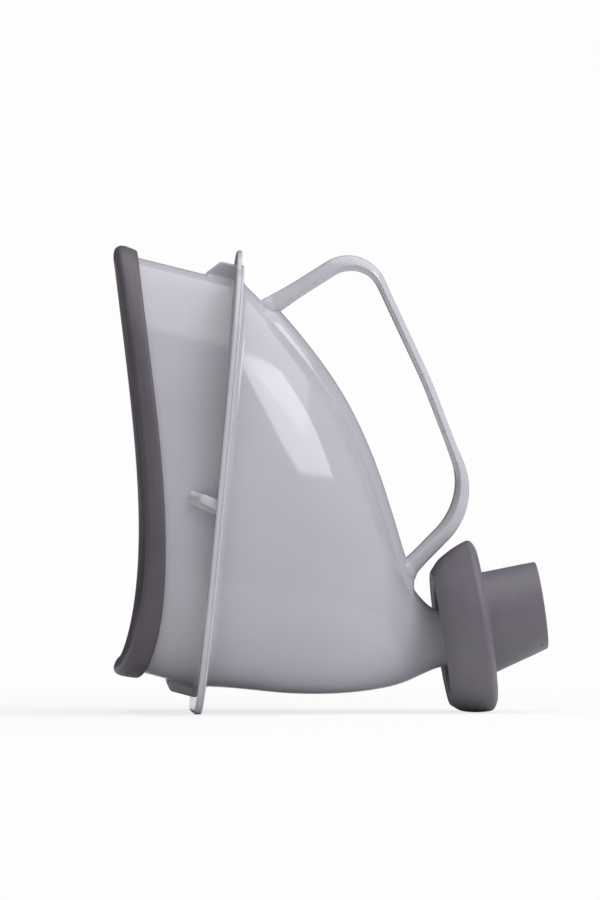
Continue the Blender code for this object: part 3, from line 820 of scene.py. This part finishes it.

# ---------------------------------------------------------------------------
# Studio: a white floor, a plain white world behind it, two soft boxes and a
# level camera with a long lens.
# ---------------------------------------------------------------------------
CAMERA_DISTANCE, CAMERA_YAW = 3.2, math.radians(2.65)
VIEW_CENTRE = Vector((-0.01068, 0.0, 0.09188))
PICTURE_HEIGHT = 0.315

bpy.context.scene.view_settings.view_transform = "Standard"
camera_data = bpy.data.cameras.new("camera")
camera_data.sensor_fit = "VERTICAL"
camera_data.sensor_height = 36.0
camera_data.lens = 36.0 * CAMERA_DISTANCE / PICTURE_HEIGHT
camera = bpy.data.objects.new("camera", camera_data)
bpy.context.scene.collection.objects.link(camera)
facing = Vector((math.sin(CAMERA_YAW), math.cos(CAMERA_YAW), 0.0))
camera.location = VIEW_CENTRE - facing * CAMERA_DISTANCE
camera.rotation_euler = facing.to_track_quat("-Z", "Y").to_euler()
bpy.context.scene.camera = camera


def soft_box(name, place, target, size, power, colour=(1.0, 1.0, 1.0)):
    data = bpy.data.lights.new(name, "AREA")
    data.shape = "RECTANGLE"
    data.size, data.size_y = size
    data.energy = power
    data.color = colour
    lamp = bpy.data.objects.new(name, data)
    lamp.location = place
    lamp.rotation_euler = (Vector(target) - Vector(place)).to_track_quat("-Z", "Y").to_euler()
    bpy.context.scene.collection.objects.link(lamp)


def towards(side, height, distance):
    """Place seen from the object at a bearing from the front and an elevation."""
    side, height = math.radians(side), math.radians(height)
    return OBJECT_CENTRE + distance * Vector((
        math.sin(side) * math.cos(height), -math.cos(side) * math.cos(height), math.sin(height)))


OBJECT_CENTRE = Vector((-0.015, -0.02, 0.10))
soft_box("overhead", OBJECT_CENTRE + Vector((0.50, -0.24, 1.15)),
         OBJECT_CENTRE + Vector((0.50, -0.24, 0.0)), (2.0, 1.45), 17.0, (0.98, 0.98, 1.0))
soft_box("right soft box", towards(56.0, 34.0, 1.2), OBJECT_CENTRE, (0.52, 0.34), 2.8,
         (0.94, 0.94, 1.0))

world = bpy.data.worlds.new("studio")
bpy.context.scene.world = world
world.use_nodes = True
nodes, links = world.node_tree.nodes, world.node_tree.links
nodes.clear()
sky = nodes.new("ShaderNodeBackground")
sky.inputs["Color"].default_value = (0.93, 0.94, 1.0, 1.0)
# the room is brighter in front on the right than on the left
aim = nodes.new("ShaderNodeTexCoord")
across = nodes.new("ShaderNodeVectorMath")
across.operation = "DOT_PRODUCT"
across.inputs[1].default_value = (0.78, -0.62, 0.0)
level = nodes.new("ShaderNodeMapRange")
for label, value in (("From Min", -0.7), ("From Max", 0.8), ("To Min", 0.11), ("To Max", 0.66)):
    level.inputs[label].default_value = value
links.new(aim.outputs["Generated"], across.inputs[0])
links.new(across.outputs["Value"], level.inputs["Value"])
links.new(level.outputs["Result"], sky.inputs["Strength"])
white = nodes.new("ShaderNodeBackground")
white.inputs["Color"].default_value = (0.985, 0.985, 0.985, 1.0)
white.inputs["Strength"].default_value = 1.0
ray = nodes.new("ShaderNodeLightPath")
choose = nodes.new("ShaderNodeMixShader")
result = nodes.new("ShaderNodeOutputWorld")
links.new(ray.outputs["Is Camera Ray"], choose.inputs[0])
links.new(sky.outputs[0], choose.inputs[1])
links.new(white.outputs[0], choose.inputs[2])
links.new(choose.outputs[0], result.inputs[0])

floor_mesh = bpy.data.meshes.new("floor")
floor_mesh.from_pydata([(-3, -4, 0), (3, -4, 0), (3, 3, 0), (-3, 3, 0)], [], [(0, 1, 2, 3)])
floor = bpy.data.objects.new("floor", floor_mesh)
bpy.context.scene.collection.objects.link(floor)
floor_paint = bpy.data.materials.new("white floor")
floor_paint.use_nodes = True
nodes, links = floor_paint.node_tree.nodes, floor_paint.node_tree.links
paint = nodes["Principled BSDF"]
paint.inputs["Base Color"].default_value = (0.94, 0.94, 0.94, 1.0)
paint.inputs["Roughness"].default_value = 0.8
glow = nodes.new("ShaderNodeEmission")
glow.inputs["Color"].default_value = (0.985, 0.985, 0.985, 1.0)
# near the object the floor keeps a faint shadow, and it turns plain white further out
place = nodes.new("ShaderNodeTexCoord")
reach = nodes.new("ShaderNodeVectorMath")
reach.operation = "LENGTH"
links.new(place.outputs["Object"], reach.inputs[0])
fade = nodes.new("ShaderNodeMapRange")
for label, value in (("From Min", 0.10), ("From Max", 0.32), ("To Min", 0.80), ("To Max", 1.0)):
    fade.inputs[label].default_value = value
links.new(reach.outputs["Value"], fade.inputs["Value"])
ray = nodes.new("ShaderNodeLightPath")
seen = nodes.new("ShaderNodeMath")
seen.operation = "MULTIPLY"
links.new(fade.outputs["Result"], seen.inputs[0])
links.new(ray.outputs["Is Camera Ray"], seen.inputs[1])
blend = nodes.new("ShaderNodeMixShader")
links.new(seen.outputs[0], blend.inputs[0])
links.new(paint.outputs[0], blend.inputs[1])
links.new(glow.outputs[0], blend.inputs[2])
links.new(blend.outputs[0], nodes["Material Output"].inputs["Surface"])
floor_mesh.materials.append(floor_paint)
